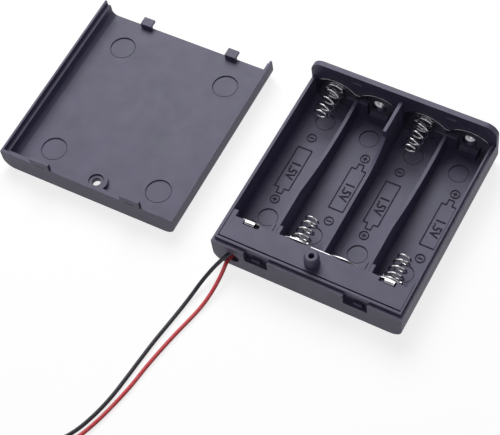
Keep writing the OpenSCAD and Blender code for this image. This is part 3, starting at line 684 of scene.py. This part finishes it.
# In millimetres. The marks' middle lies this far back, and they are shifted to the right in every
# bay, and then by MARKS_SIDE to the left in one bay and to the right in the next.
MARKS_MIDDLE = 4.1
MARKS_SHIFT = 0.6
MARKS_SIDE = 1.75
MARK_SIZES = {"Pitch": BAY_PITCH, "Cell width": 5, "Cell length": 16.4, "Button width": 1.9,
              "Button length": 2.1, "Ring radius": 1.45, "Ring distance": 12.8,
              "Side shift": -MARKS_SIDE, "Ridge width": 0.32, "Ridge height": 0.2}
RING_LINE = 0.09
TRAY_RINGS_FRONT = -15.6
TRAY_RING_SIZES = {"Pitch": BAY_PITCH, "Row distance": 40, "Ring radius": 3.2,
                   "Line radius": RING_LINE}
COVER_RING_SIZES = {"Pitch": 40, "Row distance": 45.35, "Ring radius": 4.3,
                    "Line radius": RING_LINE}


def thin_trim(piece):
    """Marks on the holder's mouldings, which stand for no CAD solid."""
    shade(piece)
    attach(piece, BODY)


def cover_corner():
    """Place of the cover's first ring: the four stand evenly round its middle."""
    return (Matrix.Translation(mm(*COVER_PLACE, BAY_FLOOR))
            @ Matrix.Rotation(math.radians(COVER_TURN), 4, "Z")
            @ Matrix.Translation(mm(-COVER_RING_SIZES["Pitch"] / 2,
                                    -COVER_RING_SIZES["Row distance"] / 2, 0)))


# The floor marks and ejector rings take the darker ABS, whose colour is painted shade for the thin
# shadows along these fine lines
thin_trim(grow("bay_floor_marks", MARKS, {
    "Bays": len(BAY_X), "Material": MARK_ABS_PAINTED_SHADE, **metres(MARK_SIZES)},
    Matrix.Translation(mm(BAY_X[0] + MARKS_SHIFT, MARKS_MIDDLE, BAY_FLOOR))))
thin_trim(grow("tray_ejector_rings", RINGS, {
    "Columns": len(BAY_X), "Material": MARK_ABS_PAINTED_SHADE, **metres(TRAY_RING_SIZES)},
    Matrix.Translation(mm(BAY_X[0], TRAY_RINGS_FRONT, BAY_FLOOR))))
thin_trim(grow("cover_ejector_rings", RINGS, {
    "Columns": 2, "Material": MARK_ABS_PAINTED_SHADE, **metres(COVER_RING_SIZES)}, cover_corner()))

# In millimetres, apart from the width, which is a share of the font's own
LETTER_HEIGHT = 3.3
LETTER_WIDTH = 0.88
LETTER_RELIEF = 0.2
LETTER_BOLD = 0.03
LETTER_FORWARD = 0.8
# The font's size for figures that are one high
SIZE_PER_FIGURE = 1.35


def moulded_voltage(bay):
    """Raised "1.5V" inside a bay's cell outline, read from the back towards the front."""
    text = bpy.data.curves.new("voltage", "FONT")
    text.body = "1.5V"
    text.size = LETTER_HEIGHT * SIZE_PER_FIGURE * MM
    text.extrude = LETTER_RELIEF * MM
    text.offset = LETTER_BOLD * MM
    text.align_x = "CENTER"
    text.align_y = "CENTER"
    text.resolution_u = 4
    host = bpy.data.objects.new("voltage_host", text)
    bpy.context.scene.collection.objects.link(host)
    side = MARKS_SHIFT + (-MARKS_SIDE if bay % 2 == 0 else MARKS_SIDE)
    place = (Matrix.Translation(mm(BAY_X[bay] + side, MARKS_MIDDLE - LETTER_FORWARD, BAY_FLOOR))
             @ Matrix.Rotation(-math.pi / 2, 4, "Z")
             @ Matrix.Scale(LETTER_WIDTH, 4, Vector((1, 0, 0))))
    piece = settle(f"voltage_mark_{bay + 1}", host, place)
    # The letters take the darker ABS, whose colour is painted shade for the shadows along their
    # raised strokes
    piece.data.materials.clear()
    piece.data.materials.append(MARK_ABS_PAINTED_SHADE)
    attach(piece, BODY)


for bay in range(len(BAY_X)):
    moulded_voltage(bay)


# ---- Floor, light and surroundings ----

# In metres
TABLE_REACH = 3.0
TABLE_DROP = 0.0001
LAYOUT_MIDDLE = Vector((-0.035, 0, 0))
# The table's own grey, and the glow that makes it white where it is seen
TABLE_GREY = (0.35, 0.35, 0.35, 1)
TABLE_GLOW = 0.8
WHITE = (1, 1, 1, 1)
# Strength of the even fill, and of the surroundings overhead as they are seen
FILL = 0.03
OVERHEAD = 0.25
# Heights, from 0 at the horizon to 1 overhead, between which the surroundings turn grey
GREY_FROM = 0.2
GREY_TO = 0.8


def camera_or_mirror(tree):
    """1 for what the camera sees straight, in a mirror or through glass, else 0."""
    path = add(tree, "ShaderNodeLightPath").outputs
    seen = add(tree, "ShaderNodeMath", {"operation": "MAXIMUM"}, {
        0: path["Is Camera Ray"], 1: path["Is Glossy Ray"]})
    return add(tree, "ShaderNodeMath", {"operation": "MAXIMUM"}, {
        0: seen, 1: path["Is Transmission Ray"]})


def make_floor():
    """Plain white table that fades into the background and keeps the object's soft shadow."""
    mesh = bpy.data.meshes.new("table")
    corners = [(x * TABLE_REACH, y * TABLE_REACH, -TABLE_DROP)
               for x, y in ((-1, -1), (1, -1), (1, 1), (-1, 1))]
    mesh.from_pydata(corners, [], [(0, 1, 2, 3)])
    floor = bpy.data.objects.new("table", mesh)
    bpy.context.scene.collection.objects.link(floor)
    material = bpy.data.materials.new("white_table")
    material.use_nodes = True
    tree = material.node_tree
    tree.nodes.clear()
    paper = add(tree, "ShaderNodeBsdfDiffuse", inputs={"Color": TABLE_GREY})
    strength = add(tree, "ShaderNodeMath", {"operation": "MULTIPLY"}, {
        0: camera_or_mirror(tree), 1: TABLE_GLOW})
    glow = add(tree, "ShaderNodeEmission", inputs={"Color": WHITE, "Strength": strength})
    both = add(tree, "ShaderNodeAddShader", inputs={0: paper, 1: glow})
    add(tree, "ShaderNodeOutputMaterial", inputs={"Surface": both})
    mesh.materials.append(material)


def make_world():
    """White surroundings that turn grey overhead where seen or mirrored, and a dim even fill."""
    world = bpy.data.worlds.new("surroundings")
    bpy.context.scene.world = world
    world.use_nodes = True
    tree = world.node_tree
    tree.nodes.clear()
    way = add(tree, "ShaderNodeTexCoord").outputs["Generated"]
    height = add(tree, "ShaderNodeSeparateXYZ", inputs={"Vector": way}).outputs["Z"]
    room = add(tree, "ShaderNodeMapRange", inputs={
        "Value": height, "From Min": GREY_FROM, "From Max": GREY_TO, "To Min": 1.0,
        "To Max": OVERHEAD})
    strength = add(tree, "ShaderNodeMapRange", inputs={
        "Value": camera_or_mirror(tree), "To Min": FILL, "To Max": room})
    light = add(tree, "ShaderNodeBackground", inputs={"Color": WHITE, "Strength": strength})
    add(tree, "ShaderNodeOutputWorld", inputs={"Surface": light})


def softbox(name, place, size, power):
    """Square soft light that faces the middle of the layout. Place and size are in metres."""
    lamp = bpy.data.lights.new(name, "AREA")
    lamp.shape = "SQUARE"
    lamp.size = size
    lamp.energy = power
    box = bpy.data.objects.new(name, lamp)
    box.matrix_world = Matrix.Translation(place) @ (
        (Vector(place) - LAYOUT_MIDDLE).to_track_quat("Z", "Y").to_matrix().to_4x4())
    bpy.context.scene.collection.objects.link(box)


make_floor()
make_world()
softbox("softbox_back_left", (-0.38, 0.5, 0.75), 0.7, 7.1)
softbox("softbox_front", (0.1, -0.65, 0.85), 0.3, 0.6)

bpy.context.scene.view_settings.view_transform = "Standard"
